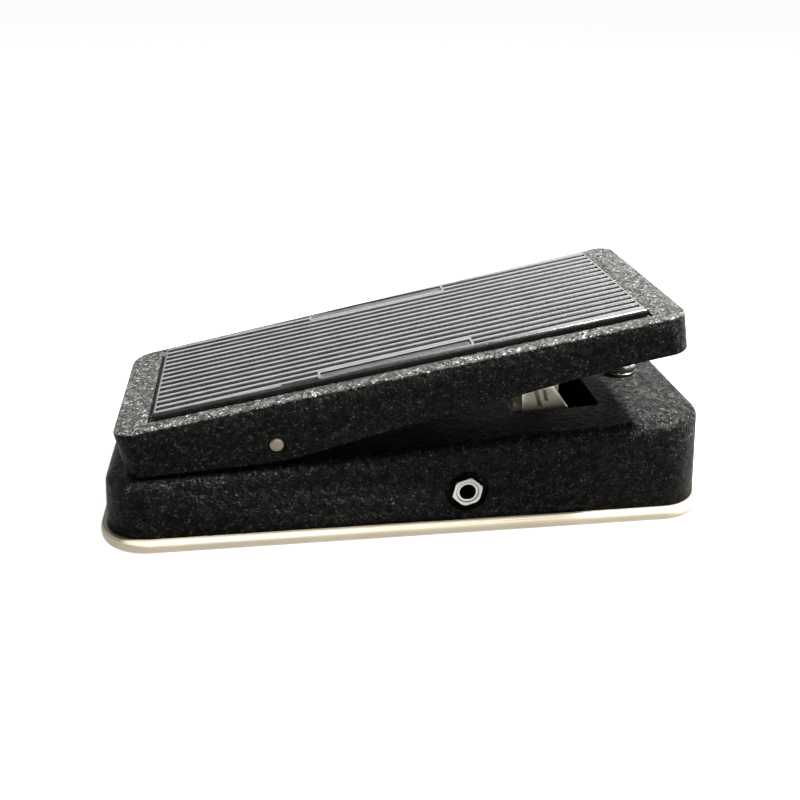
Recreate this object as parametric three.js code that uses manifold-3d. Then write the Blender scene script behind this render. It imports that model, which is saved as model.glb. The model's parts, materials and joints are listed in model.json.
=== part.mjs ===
// A rocker-treadle guitar effects pedal: a wedge-shaped cast base holding the circuit, and a treadle
// that rocks on a pivot rod, driving a gear rack, a pinion and a potentiometer.
// Millimetres. +X points to the toe, -Y is the input-jack side, +Z is up, z = 0 is the floor.
import * as THREE from "three";
import { mergeVertices } from "three/addons/utils/BufferGeometryUtils.js";
import Module from "manifold-3d";

const wasm = await Module();
wasm.setup();

// ---------------------------------------------------------------- driving dimensions
const GAP = 0.3; // clearance kept between touching pieces
const OVER = 5; // how far a cutting tool reaches past what it cuts
const degrees = THREE.MathUtils.degToRad;

const BASE = {
  halfLength: 124, halfWidth: 48.04, corner: 18.9, // outline of the shell's rim
  rim: 5.35, // height of the shell's lower edge
  draft: Math.tan(degrees(3.1)),
  toeLean: Math.tan(degrees(2.4)), // the toe end leans in this much more than the other walls
  topAtMiddle: 36.3, topSlope: 0.0684, // the top face rises towards the toe
  wall: 3, edgeRadius: 4.5,
};
const GASKET = { overhang: 2.64, inner: 4.5, top: 5.05 };
const PLATE = { bottom: 1.2, top: 2.7 };
const SLOT = { toe: 82.5, heel: 45, halfWidth: 23, corner: 3 };

const TREADLE = {
  height: 70.77, tilt: degrees(10.96), // its top face at mid length, toe up
  heel: -118.9, toe: 107.5, halfWidth: 46.95, taper: 0.03095, corner: 8.5,
  plate: 3.5, wall: 3, edgeRadius: 1.5,
};
const MAT = {
  heel: -102.8, toe: 93.2, halfWidth: 38.9, taper: 0.0345, proud: 2.1,
  grooves: 16, pitch: 4.83, grooveWidth: 1.7, grooveDepth: 1.3, border: 1.4,
  panelHeel: -37, panelToe: 25, panelInner: 31,
};
const RECESS = { heel: -105, toe: 94.4, halfWidth: 42.3, taper: 0.025, depth: 1 };
const PIVOT = { x: -54, z: 41.7, radius: 3 };
const TOE_DOWN = degrees(10.5); // how far the treadle rocks from heel-down
const LUG = { inner: 33, outer: 40.3, halfLength: 8.5, bore: 5 };
const EYE_BOLT = { eye: 6.4, shank: 2.5, halfWidth: 2.8 };

const CLEVIS = { cheekIn: 3.6, sheet: 1.4, seat: -7.3 };
const CLEVIS_PIN = { x: 64, z: 52.5, radius: 1.5 };
const GEAR = { module: 1, teeth: 14, x: 51.8, z: 28.5, halfFace: 5.2 };
const RACK = { pitchX: 58.95, back: 66.5, halfWidth: 2.6, below: 27, above: 1.5 };
const POT = { shaft: 3, bushing: 4.75, body: 10, wiper: 6 };
const BRACKET = { front: -9, back: 9, sheet: 1.5, heel: 52.5, toe: 73.5, top: 45, shoulder: 35, foot: 8 };
const JACK = {
  x: 21.4, z: 17.8, bore: 3.3, bushing: 4.5,
  nut: 6.6, nutTurn: degrees(-17), nutHeight: 2.6,
  recess: 8.7, recessDepth: 1.8,
};
const SWITCH = { x: 101.5, y: 8, bushing: 5, stem: 2.8, button: 4.4, plungerTop: 54.6 };
const BOARD = { heel: -40, toe: 34, halfWidth: 15, bottom: 18, top: 19.6 };
const BATTERY = { heel: -112, toe: -66, halfWidth: 13, bottom: 3.2, top: 20.2, studY: 6.3, studReach: 2 };
const SMALL_STUD = 2.6;
const LARGE_STUD = 3.4;

// Screws: shank and head radius.
const M3 = { shank: 1.5, head: 2.8 };
const M25 = { shank: 1.25, head: 2.5 };

// ---------------------------------------------------------------- finishes
const FINISH = {
  paint: { color: 0x1c1b19, roughness: 0.7, metalness: 0.3 },
  rubber: { color: 0x151515, roughness: 0.45, metalness: 0 },
  cream: { color: 0xe4dcc8, roughness: 0.5, metalness: 0 },
  nickel: { color: 0xc9c7c0, roughness: 0.2, metalness: 1 },
  zinc: { color: 0xb5b2a6, roughness: 0.35, metalness: 1 },
  rodSteel: { color: 0x8d867a, roughness: 0.5, metalness: 0.9 },
  nylon: { color: 0xe8e4d8, roughness: 0.5, metalness: 0 },
  blackPlastic: { color: 0x1a1a1c, roughness: 0.5, metalness: 0 },
  boardGreen: { color: 0x3f5a34, roughness: 0.5, metalness: 0 },
  capRed: { color: 0x8c2f1f, roughness: 0.4, metalness: 0 },
  capBlue: { color: 0x27407a, roughness: 0.4, metalness: 0 },
  tan: { color: 0xb9956a, roughness: 0.6, metalness: 0 },
  wireRed: { color: 0xa01c18, roughness: 0.5, metalness: 0 },
  wireBlack: { color: 0x141414, roughness: 0.5, metalness: 0 },
  wireGreen: { color: 0x2f6b3a, roughness: 0.5, metalness: 0 },
  wireWhite: { color: 0xd8d5cc, roughness: 0.5, metalness: 0 },
};

// ---------------------------------------------------------------- solids
// Turns a closed geometry into a solid, with shared corners merged and its faces pointing out.
function solid(geometry) {
  const bare = geometry.clone();
  bare.deleteAttribute("normal");
  bare.deleteAttribute("uv");
  const merged = mergeVertices(bare, 1e-4);
  const corners = merged.attributes.position.array;
  const index = merged.index.array;
  const faces = [];
  let volume = 0;
  const a = new THREE.Vector3();
  const b = new THREE.Vector3();
  const c = new THREE.Vector3();
  for (let i = 0; i < index.length; i += 3) {
    const [p, q, r] = index.slice(i, i + 3);
    if (p === q || q === r || r === p) continue;
    faces.push([p, q, r]);
    a.fromArray(corners, 3 * p);
    b.fromArray(corners, 3 * q);
    c.fromArray(corners, 3 * r);
    volume += a.dot(b.cross(c));
  }
  const turned = volume < 0 ? faces.map(([p, q, r]) => [p, r, q]) : faces;
  return new wasm.Manifold(
    new wasm.Mesh({
      numProp: 3,
      vertProperties: new Float32Array(corners),
      triVerts: new Uint32Array(turned.flat()),
    }),
  );
}

function toGeometry(body) {
  const mesh = body.getMesh();
  const geometry = new THREE.BufferGeometry();
  geometry.setAttribute("position", new THREE.BufferAttribute(mesh.vertProperties, 3));
  geometry.setIndex(new THREE.BufferAttribute(mesh.triVerts, 1));
  const faceted = geometry.toNonIndexed();
  faceted.computeVertexNormals();
  return faceted;
}

const join = (...bodies) => bodies.reduce((whole, body) => whole.add(body));
const cut = (body, ...tools) => tools.reduce((rest, tool) => rest.subtract(tool), body);

function block(x0, x1, y0, y1, z0, z1) {
  const geometry = new THREE.BoxGeometry(x1 - x0, y1 - y0, z1 - z0);
  geometry.translate((x0 + x1) / 2, (y0 + y1) / 2, (z0 + z1) / 2);
  return solid(geometry);
}

// A round bar from one end point to the other; a different end radius makes it a cone.
function bar(from, to, radius, sides = 16, endRadius = radius) {
  const start = new THREE.Vector3(...from);
  const end = new THREE.Vector3(...to);
  const direction = end.clone().sub(start);
  const geometry = new THREE.CylinderGeometry(endRadius, radius, direction.length(), sides);
  geometry.translate(0, direction.length() / 2, 0);
  geometry.applyQuaternion(
    new THREE.Quaternion().setFromUnitVectors(new THREE.Vector3(0, 1, 0), direction.normalize()),
  );
  geometry.translate(...from);
  return solid(geometry);
}

// A shape drawn in the XY plane and given height along Z.
function extrudeZ(shape, z0, z1, curveSegments = 8) {
  const settings = { depth: z1 - z0, bevelEnabled: false, curveSegments };
  const geometry = new THREE.ExtrudeGeometry(shape, settings);
  geometry.translate(0, 0, z0);
  return solid(geometry);
}

// A shape drawn in the XZ plane and given width along Y.
function extrudeY(shape, y0, y1, curveSegments = 8) {
  const settings = { depth: y1 - y0, bevelEnabled: false, curveSegments };
  const geometry = new THREE.ExtrudeGeometry(shape, settings);
  geometry.rotateX(Math.PI / 2);
  geometry.translate(0, y1, 0);
  return solid(geometry);
}

const polygon = (points) => new THREE.Shape(points.map(([x, y]) => new THREE.Vector2(x, y)));

function roundedRectangle(x0, x1, y0, y1, radius) {
  const shape = new THREE.Shape();
  shape.absarc(x1 - radius, y1 - radius, radius, 0, Math.PI / 2);
  shape.absarc(x0 + radius, y1 - radius, radius, Math.PI / 2, Math.PI);
  shape.absarc(x0 + radius, y0 + radius, radius, Math.PI, 1.5 * Math.PI);
  shape.absarc(x1 - radius, y0 + radius, radius, 1.5 * Math.PI, 2 * Math.PI);
  return shape;
}

function regularPolygon(sides, radius, start = 0) {
  const points = [];
  for (let i = 0; i < sides; i += 1) {
    const angle = start + (2 * Math.PI * i) / sides;
    points.push([radius * Math.cos(angle), radius * Math.sin(angle)]);
  }
  return polygon(points);
}

// A lathe whose rings are stretched into rounded rectangles. Each ring has an inset from the full
// outline, a height, and may have a setback of its toe end; halfWidth(x) gives the half width
// there, and lift(x, ring) an extra height.
function loft({ heel, toe, corner, halfWidth, rings, lift = () => 0, cornerSteps = 7 }) {
  const profile = [
    new THREE.Vector2(0, 0),
    ...rings.map((_, i) => new THREE.Vector2(1, i)),
    new THREE.Vector2(0, rings.length - 1),
  ];
  const around = 4 * (cornerSteps + 1);
  const geometry = new THREE.LatheGeometry(profile, around);
  const position = geometry.attributes.position;
  const last = profile.length - 1;
  for (let i = 0; i <= around; i += 1) {
    const step = i % around;
    const quarter = Math.floor(step / (cornerSteps + 1));
    const angle = (Math.PI / 2) * (quarter + (step % (cornerSteps + 1)) / cornerSteps);
    const towardsToe = quarter === 0 || quarter === 3;
    const side = quarter < 2 ? 1 : -1;
    for (let j = 0; j <= last; j += 1) {
      const ring = rings[THREE.MathUtils.clamp(j - 1, 0, rings.length - 1)];
      const radius = corner - ring.inset;
      const centreX = towardsToe ? toe - corner - (ring.setback ?? 0) : heel + corner;
      const onAxis = j === 0 || j === last;
      const x = onAxis ? (heel + toe) / 2 : centreX + radius * Math.cos(angle);
      const centreY = side * (halfWidth(x) - corner);
      const y = onAxis ? 0 : centreY + radius * Math.sin(angle);
      position.setXYZ(i * (last + 1) + j, x, y, ring.height + lift(x, ring));
    }
  }
  return solid(geometry);
}

// A round wire swept along a smooth curve through the given points.
function wire(points, radius) {
  const curve = new THREE.CatmullRomCurve3(points.map((p) => new THREE.Vector3(...p)));
  const steps = 3 * (points.length - 1);
  const section = regularPolygon(6, radius);
  return new THREE.ExtrudeGeometry(section, { steps, extrudePath: curve });
}

// ---------------------------------------------------------------- assembly
const pedal = new THREE.Group();
const treadleGroup = new THREE.Group();
treadleGroup.position.z = TREADLE.height;
treadleGroup.rotation.y = -TREADLE.tilt;
pedal.add(treadleGroup);

function add(name, body, finish, { parent = pedal, position = [0, 0, 0], rotation = [0, 0, 0] } = {}) {
  const geometry = body.isBufferGeometry ? body : toGeometry(body);
  const mesh = new THREE.Mesh(geometry, new THREE.MeshStandardMaterial(finish));
  mesh.name = name;
  mesh.position.set(...position);
  mesh.rotation.set(...rotation);
  parent.add(mesh);
}

const baseTop = (x) => BASE.topAtMiddle + BASE.topSlope * x;

// Turns a point of the pedal's frame into the treadle's own frame.
function toTreadle(x, y, z) {
  const { height, tilt } = TREADLE;
  const up = z - height;
  return [x * Math.cos(tilt) + up * Math.sin(tilt), y, up * Math.cos(tilt) - x * Math.sin(tilt)];
}

// Where a treadle point rests that reaches the given place when the toe is fully down.
function beforeRocking(x, y, z) {
  const [dx, dz] = [x - PIVOT.x, z - PIVOT.z];
  return [
    PIVOT.x + dx * Math.cos(TOE_DOWN) - dz * Math.sin(TOE_DOWN),
    y,
    PIVOT.z + dz * Math.cos(TOE_DOWN) + dx * Math.sin(TOE_DOWN),
  ];
}

// ---------------------------------------------------------------- base casing
const PLATE_SCREW_PLACES = [[-106, -31], [-106, 31], [108, -31], [108, 31]];
const BOARD_SCREW_PLACES = [[-35, 0], [29, 0]];
const BRACKET_SCREW_PLACES = [[88, -13], [88, 13]];
const HEEL_BUMPER_PLACES = [[-99, -25], [-99, 25]];
const CLEVIS_SCREW_PLACES = [[52, 0], [80, 0]]; // in the treadle's own frame

// The wedge: straight drafted sides and a sloping top with a rounded edge.
function wedge(inset, bottom, topDrop) {
  const { draft, edgeRadius, rim, toeLean } = BASE;
  const radius = Math.max(edgeRadius - topDrop, 0.8);
  const flat = BASE.topAtMiddle - topDrop;
  const rise = flat - radius - rim;
  const rings = [{ inset: inset + (bottom - rim) * draft, height: bottom, setback: 0, lifted: 0 }];
  for (const angle of [0, 30, 60, 90].map(degrees)) {
    rings.push({
      inset: inset + rise * draft + radius * (1 - Math.cos(angle)),
      height: flat - radius * (1 - Math.sin(angle)),
      setback: rise * toeLean,
      lifted: 1,
    });
  }
  return loft({
    heel: -BASE.halfLength, toe: BASE.halfLength, corner: BASE.corner,
    halfWidth: () => BASE.halfWidth,
    rings,
    lift: (x, ring) => ring.lifted * BASE.topSlope * x,
  });
}

function pivotLug(side) {
  const profile = new THREE.Shape();
  profile.moveTo(PIVOT.x - LUG.halfLength - 2, baseTop(PIVOT.x) - 2);
  profile.lineTo(PIVOT.x + LUG.halfLength + 2, baseTop(PIVOT.x) - 2);
  profile.absarc(PIVOT.x, PIVOT.z, LUG.halfLength - 1, 0.2, Math.PI - 0.2);
  const [near, far] = side < 0 ? [-LUG.outer, -LUG.inner] : [LUG.inner, LUG.outer];
  return extrudeY(profile, near, far, 5);
}

function boss(x, y, radius, bottom) {
  return bar([x, y, bottom], [x, y, baseTop(x) - BASE.wall / 2], radius, 12);
}

function baseShell() {
  const { x, z, bushing, recess, recessDepth } = JACK;
  const wallY = BASE.halfWidth - (z - BASE.rim) * BASE.draft;
  const clearance = 0.15; // screw holes stay just wider than their screws
  const slot = roundedRectangle(SLOT.heel, SLOT.toe, -SLOT.halfWidth, SLOT.halfWidth, SLOT.corner);
  let shell = cut(wedge(0, BASE.rim, 0), wedge(BASE.wall, BASE.rim - OVER, BASE.wall));
  shell = join(
    shell,
    pivotLug(-1),
    pivotLug(1),
    ...PLATE_SCREW_PLACES.map(([px, py]) => boss(px, py, 5, PLATE.top + GAP)),
    ...BOARD_SCREW_PLACES.map(([px, py]) => boss(px, py, 3.6, BOARD.top + GAP)),
    ...BRACKET_SCREW_PLACES.map(([px, py]) => boss(px, py, 4, BRACKET.foot + BRACKET.sheet + GAP)),
  );
  shell = cut(
    shell,
    extrudeZ(slot, 20, 60, 4),
    bar([PIVOT.x, -45, PIVOT.z], [PIVOT.x, 45, PIVOT.z], LUG.bore, 24),
    bar([PIVOT.x, 0, 20], [PIVOT.x, 0, 40], EYE_BOLT.shank + GAP, 16),
    bar([SWITCH.x, SWITCH.y, 30], [SWITCH.x, SWITCH.y, 60], SWITCH.bushing + GAP, 24),
  );
  for (const side of [-1, 1]) {
    shell = cut(
      shell,
      bar([x, side * 40, z], [x, side * 60, z], bushing + GAP, 24),
      bar([x, side * (wallY - recessDepth), z], [x, side * 60, z], recess, 36),
    );
  }
  for (const [px, py] of PLATE_SCREW_PLACES) {
    shell = cut(shell, bar([px, py, 0], [px, py, 15], M3.shank + GAP + clearance, 8));
  }
  for (const [px, py] of BOARD_SCREW_PLACES) {
    shell = cut(shell, bar([px, py, 15], [px, py, 27], M25.shank + GAP + clearance, 8));
  }
  for (const [px, py] of BRACKET_SCREW_PLACES) {
    shell = cut(shell, bar([px, py, 5], [px, py, 20], M3.shank + GAP + clearance, 8));
  }
  return shell;
}

function basePlate() {
  const inset = GASKET.inner + GAP;
  const { halfLength, halfWidth, corner } = BASE;
  const outline = roundedRectangle(
    -halfLength + inset, halfLength - inset, -halfWidth + inset, halfWidth - inset, corner - inset,
  );
  const holes = PLATE_SCREW_PLACES.map(([x, y]) => bar([x, y, -1], [x, y, 5], M3.shank + GAP, 12));
  return cut(extrudeZ(outline, PLATE.bottom, PLATE.top), ...holes);
}

// A rubber moulding with a bulged outer edge, gripped between the shell's rim and the floor.
function edgeGasket() {
  const { overhang, inner, top } = GASKET;
  const bulge = 1.7;
  const profile = [[0.9, 0], [0.25, 0.7], [0, bulge], [0, top - bulge], [0.25, top - 0.6], [1, top]];
  const outer = loft({
    heel: -BASE.halfLength - overhang, toe: BASE.halfLength + overhang,
    corner: BASE.corner + overhang,
    halfWidth: () => BASE.halfWidth + overhang,
    rings: profile.map(([inset, height]) => ({ inset, height })),
  });
  const { halfLength, halfWidth, corner } = BASE;
  const opening = roundedRectangle(
    -halfLength + inner, halfLength - inner, -halfWidth + inner, halfWidth - inner, corner - inner,
  );
  return cut(outer, extrudeZ(opening, -OVER, top + OVER));
}

// A slotted screw pointing up, its head's upper face at z = 0.
function screw({ shank, head }, length, headHeight) {
  const slot = block(-head, head, -0.4, 0.4, -headHeight - 1, -headHeight + 0.5);
  return cut(
    join(
      bar([0, 0, -0.1], [0, 0, length], shank, 8),
      bar([0, 0, -headHeight], [0, 0, 0], head * 0.75, 16, head),
    ),
    slot,
  );
}

function buildBase() {
  add("base_shell", baseShell(), FINISH.paint);
  add("base_plate", basePlate(), FINISH.paint);
  add("edge_gasket", edgeGasket(), FINISH.cream);
  PLATE_SCREW_PLACES.forEach(([x, y], i) => {
    add(`plate_screw_${i + 1}`, screw(M3, 9, 0.75), FINISH.zinc, {
      position: [x, y, PLATE.bottom - GAP],
    });
  });
  const bumper = bar([0, 0, 0], [0, 0, 3.3], 5, 24, 4.4);
  HEEL_BUMPER_PLACES.forEach(([x, y], i) => {
    add(`heel_bumper_${i + 1}`, bumper, FINISH.rubber, {
      position: [x, y, baseTop(x) + GAP],
      rotation: [0, -Math.atan(BASE.topSlope), 0],
    });
  });
}

// ---------------------------------------------------------------- treadle
const halfWidthAt = (s) => TREADLE.halfWidth + TREADLE.taper * s;

function treadleBlank(inset, top, bottom, radius) {
  const rings = [{ inset, height: bottom }];
  for (const angle of [0, 30, 60, 90].map(degrees)) {
    rings.push({
      inset: inset + radius * (1 - Math.cos(angle)),
      height: top - radius * (1 - Math.sin(angle)),
    });
  }
  const { heel, toe, corner } = TREADLE;
  return loft({ heel, toe, corner, halfWidth: halfWidthAt, rings, cornerSteps: 6 });
}

// Side view of the treadle: the skirts are deepest at the pivot.
function skirtProfile() {
  const { heel, toe } = TREADLE;
  const shape = new THREE.Shape();
  shape.moveTo(heel - OVER, OVER);
  shape.lineTo(heel - OVER, -19.4);
  shape.lineTo(-113, -19.8);
  shape.quadraticCurveTo(-90, -22, -74.5, -24);
  shape.quadraticCurveTo(-62, -25.7, -54, -25.5);
  shape.quadraticCurveTo(-20, -23, 30, -19.8);
  shape.quadraticCurveTo(60, -17.4, 86, -16.3);
  shape.lineTo(toe + OVER, -16.3);
  shape.lineTo(toe + OVER, OVER);
  return shape;
}

// A straight-sided outline that narrows towards the heel.
function taperedOutline({ heel, toe, halfWidth, taper }) {
  const edge = (s) => halfWidth + taper * s;
  return polygon([[heel, -edge(heel)], [toe, -edge(toe)], [toe, edge(toe)], [heel, edge(heel)]]);
}

function treadleCasting() {
  const { plate, wall } = TREADLE;
  const [pivotS, , pivotH] = toTreadle(PIVOT.x, 0, PIVOT.z);
  const skirted = treadleBlank(0, 0, -40, TREADLE.edgeRadius).intersect(
    extrudeY(skirtProfile(), -70, 70, 5),
  );
  const hollow = treadleBlank(wall, -plate, -60, 0.8);
  const heelPosts = HEEL_BUMPER_PLACES.map(([x, y]) => {
    const [s] = toTreadle(x, 0, 35);
    return bar([s, y, -16.9], [s, y, -plate + 1], 4, 16, 4.6);
  });
  const padFoot = CLEVIS.seat + GAP;
  const holeTop = -RECESS.depth - 0.6;
  const clevisPads = CLEVIS_SCREW_PLACES.map(([s, y]) => bar([s, y, padFoot], [s, y, -plate + 1], 3.8, 20));
  const holeRadius = M3.shank + GAP;
  const clevisHoles = CLEVIS_SCREW_PLACES.map(([s, y]) => bar([s, y, -9], [s, y, holeTop], holeRadius, 12));
  return cut(
    join(skirted.subtract(hollow), ...heelPosts, ...clevisPads),
    extrudeZ(taperedOutline(RECESS), -RECESS.depth, OVER),
    bar([pivotS, -70, pivotH], [pivotS, 70, pivotH], PIVOT.radius + GAP, 32),
    ...clevisHoles,
  );
}

// Ribs run along the mat; a plain panel on each long side interrupts the outer ones. A groove
// stops short of the mat's ends, and of its sides where these narrow towards the heel.
function treadMat() {
  const { grooves, pitch, grooveWidth, grooveDepth, proud, border } = MAT;
  const { heel, toe, halfWidth, taper, panelHeel, panelToe, panelInner } = MAT;
  let mat = extrudeZ(taperedOutline(MAT), GAP - RECESS.depth, proud);
  const half = (grooves - 1) / 2;
  for (let i = -half; i <= half; i += 1) {
    const y = i * pitch;
    const start = Math.max(heel, (Math.abs(y) + grooveWidth / 2 - halfWidth) / taper) + border;
    const end = toe - border;
    const stretches = Math.abs(y) > panelInner ? [[start, panelHeel], [panelToe, end]] : [[start, end]];
    for (const [from, to] of stretches) {
      const vee = polygon([
        [-grooveWidth / 2, proud + 0.01],
        [grooveWidth / 2, proud + 0.01],
        [0, proud - grooveDepth],
      ]);
      const geometry = new THREE.ExtrudeGeometry(vee, { depth: to - from, bevelEnabled: false });
      geometry.applyMatrix4(new THREE.Matrix4().set(0, 0, 1, from, 1, 0, 0, y, 0, 1, 0, 0, 0, 0, 0, 1));
      mat = mat.subtract(solid(geometry));
    }
  }
  return mat;
}

// A sheet-metal hanger screwed under the treadle; the rack hangs between its two cheeks.
function rackClevis() {
  const { cheekIn, sheet, seat } = CLEVIS;
  const [s, , h] = toTreadle(CLEVIS_PIN.x, 0, CLEVIS_PIN.z);
  const cheek = new THREE.Shape();
  cheek.moveTo(s - 8, seat);
  cheek.lineTo(s - 3.6, h);
  cheek.absarc(s, h, 3.6, Math.PI, 2 * Math.PI);
  cheek.lineTo(s + 8, seat);
  const outer = cheekIn + sheet;
  return cut(
    join(
      extrudeZ(roundedRectangle(46, 86, -outer, outer, 3), seat - sheet, seat, 4),
      extrudeY(cheek, -outer, -cheekIn, 8),
      extrudeY(cheek, cheekIn, outer, 8),
    ),
    bar([s, -10, h], [s, 10, h], CLEVIS_PIN.radius + GAP, 16),
    ...CLEVIS_SCREW_PLACES.map(([x, y]) => bar([x, y, -20], [x, y, 0], M3.shank + GAP, 12)),
  );
}

function buildTreadle() {
  const inTreadle = { parent: treadleGroup };
  add("treadle", treadleCasting(), FINISH.paint, inTreadle);
  add("tread_mat", treadMat(), FINISH.rubber, inTreadle);
  add("rack_clevis", rackClevis(), FINISH.zinc, inTreadle);
  CLEVIS_SCREW_PLACES.forEach(([s, y], i) => {
    add(`clevis_screw_${i + 1}`, screw(M3, 6.2, 1.6), FINISH.zinc, {
      parent: treadleGroup,
      position: [s, y, CLEVIS.seat - CLEVIS.sheet - GAP],
    });
  });
  // With the toe down, this bumper meets the footswitch plunger.
  const contact = beforeRocking(SWITCH.x, SWITCH.y, SWITCH.plungerTop + GAP);
  const [s, y, bottom] = toTreadle(...contact);
  const bumper = bar([s, y, bottom], [s, y, -TREADLE.plate - GAP], 4.8, 20, 5.2);
  add("toe_bumper", bumper, FINISH.rubber, inTreadle);
  const reach = halfWidthAt(toTreadle(PIVOT.x, 0, PIVOT.z)[0]) - 0.25;
  add("pivot_rod", bar([0, -reach, 0], [0, reach, 0], PIVOT.radius, 32), FINISH.rodSteel, {
    position: [PIVOT.x, 0, PIVOT.z],
  });
}

// ---------------------------------------------------------------- pivot
function buildPivot() {
  const bore = PIVOT.radius + GAP;
  const sleeve = LUG.bore - GAP;
  const { eye: eyeRadius, shank, halfWidth } = EYE_BOLT;
  for (const [name, side] of [["left", 1], ["right", -1]]) {
    const from = side * (LUG.inner + 0.5);
    const face = side * (LUG.outer + GAP);
    const flange = side * (LUG.outer + GAP + 1);
    const bush = cut(
      join(bar([0, from, 0], [0, flange, 0], sleeve), bar([0, face, 0], [0, flange, 0], 6.5)),
      bar([0, -50, 0], [0, 50, 0], bore),
    );
    add(`pivot_bush_${name}`, bush, FINISH.nylon, { position: [PIVOT.x, 0, PIVOT.z] });
  }
  // The eye bolt pulls the rod down onto the friction pad; its nut inside the base sets the drag.
  const eye = cut(
    join(
      bar([0, -halfWidth, 0], [0, halfWidth, 0], eyeRadius, 24),
      bar([0, 0, -4], [0, 0, -25.5], shank, 16),
    ),
    bar([0, -10, 0], [0, 10, 0], bore),
  );
  add("tension_eye_bolt", eye, FINISH.zinc, { position: [PIVOT.x, 0, PIVOT.z] });
  const nut = cut(
    extrudeZ(regularPolygon(6, 5), 0, 4),
    bar([0, 0, -1], [0, 0, 5], shank + GAP, 16),
  );
  const ceiling = baseTop(PIVOT.x - 6) - BASE.wall;
  add("tension_nut", nut, FINISH.zinc, { position: [PIVOT.x, 0, ceiling - 4 - GAP] });
  const lean = Math.atan(BASE.topSlope);
  const seat = baseTop(PIVOT.x) + GAP;
  const slopedSeat = new THREE.BoxGeometry(40, 40, 20);
  slopedSeat.translate(0, 0, -10);
  slopedSeat.rotateY(-lean);
  slopedSeat.translate(PIVOT.x, 0, seat);
  const pad = cut(
    block(PIVOT.x - 9, PIVOT.x + 9, -9, 9, seat - 3, PIVOT.z),
    solid(slopedSeat),
    block(
      PIVOT.x - eyeRadius - 0.8, PIVOT.x + eyeRadius + 0.8,
      -halfWidth - GAP, halfWidth + GAP,
      PIVOT.z - eyeRadius - GAP, PIVOT.z + 2,
    ),
    bar([PIVOT.x, 0, 25], [PIVOT.x, 0, 45], shank + GAP, 16),
    bar([PIVOT.x, -12, PIVOT.z], [PIVOT.x, 12, PIVOT.z], bore),
  );
  add("friction_pad", pad, FINISH.nylon);
}

// ---------------------------------------------------------------- rack, pinion and potentiometer
// A straight-flanked gear outline about its own centre, with one tooth pointing along +X at the rack.
function gearOutline() {
  const { module, teeth } = GEAR;
  const pitchRadius = (module * teeth) / 2;
  const step = (2 * Math.PI) / teeth;
  const profile = [[-0.36, -1.2], [-0.14, 0.95], [0.14, 0.95], [0.36, -1.2]];
  const points = [];
  for (let tooth = 0; tooth < teeth; tooth += 1) {
    for (const [part, height] of profile) {
      const angle = (tooth + part) * step;
      const radius = pitchRadius + height * module;
      points.push([radius * Math.cos(angle), radius * Math.sin(angle)]);
    }
  }
  return polygon(points);
}

function rackBody() {
  const { pitchX, back, halfWidth, below, above } = RACK;
  const pitch = Math.PI * GEAR.module;
  const top = CLEVIS_PIN.z + above;
  const bottom = CLEVIS_PIN.z - below;
  const root = pitchX + 1.25 * GEAR.module;
  const tip = pitchX - 0.9 * GEAR.module;
  const points = [[back, bottom], [back, top], [root, top]];
  // Tooth gaps are centred on the pinion's height, so that a pinion tooth sits in one.
  const teethAbove = Math.floor((top - GEAR.z) / pitch - 0.5);
  const teethBelow = Math.floor((GEAR.z - bottom) / pitch - 0.5);
  for (let i = teethAbove; i >= -teethBelow - 1; i -= 1) {
    const centre = GEAR.z + (i + 0.5) * pitch;
    for (const [height, x] of [[1.16, root], [0.36, tip], [-0.36, tip], [-1.16, root]]) {
      points.push([x, centre + height * GEAR.module]);
    }
  }
  points.push([root, bottom]);
  const eyeX = CLEVIS_PIN.x;
  return cut(
    join(
      extrudeY(polygon(points), -halfWidth, halfWidth),
      bar([eyeX, -halfWidth, CLEVIS_PIN.z], [eyeX, halfWidth, CLEVIS_PIN.z], 3.4, 16),
    ),
    bar([eyeX, -9, CLEVIS_PIN.z], [eyeX, 9, CLEVIS_PIN.z], CLEVIS_PIN.radius + GAP, 16),
  );
}

// A folded channel: the front cheek guides the rack and has two slanting slots, and the back one
// carries the potentiometer.
function potBracket() {
  const { front, back, sheet, heel, toe, top, shoulder, foot } = BRACKET;
  const frontCheek = polygon([
    [heel + 1.5, foot + 4],
    [toe, foot + 4],
    [toe, shoulder],
    [toe - 1, shoulder],
    [toe - 7, top],
    [heel - 0.5, top],
  ]);
  const slantingSlot = (x, length) => {
    const [slotTop, width, slant] = [top - 1.5, 1.6, 0.3 * length];
    return polygon([
      [x, slotTop],
      [x + width, slotTop],
      [x + width + slant, slotTop - length],
      [x + slant, slotTop - length],
    ]);
  };
  const backCheek = roundedRectangle(SLOT.heel + 1.5, toe, foot + 4, top - 2, 3);
  const screwHoles = BRACKET_SCREW_PLACES.map(([x, y]) => bar([x, y, 0], [x, y, 15], M3.shank + GAP, 12));
  return cut(
    join(
      extrudeY(frontCheek, front, front + sheet),
      extrudeY(backCheek, back - sheet, back, 3),
      block(toe - sheet, toe, front, back, foot, shoulder),
      extrudeZ(roundedRectangle(toe - sheet, 93, -18, 18, 1), foot, foot + sheet, 3),
    ),
    extrudeY(slantingSlot(heel + 5, 8), front - 1, front + sheet + 1),
    extrudeY(slantingSlot(heel + 8.6, 5.5), front - 1, front + sheet + 1),
    bar([GEAR.x, 0, GEAR.z], [GEAR.x, 20, GEAR.z], POT.bushing + GAP, 24),
    ...screwHoles,
  );
}

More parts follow.
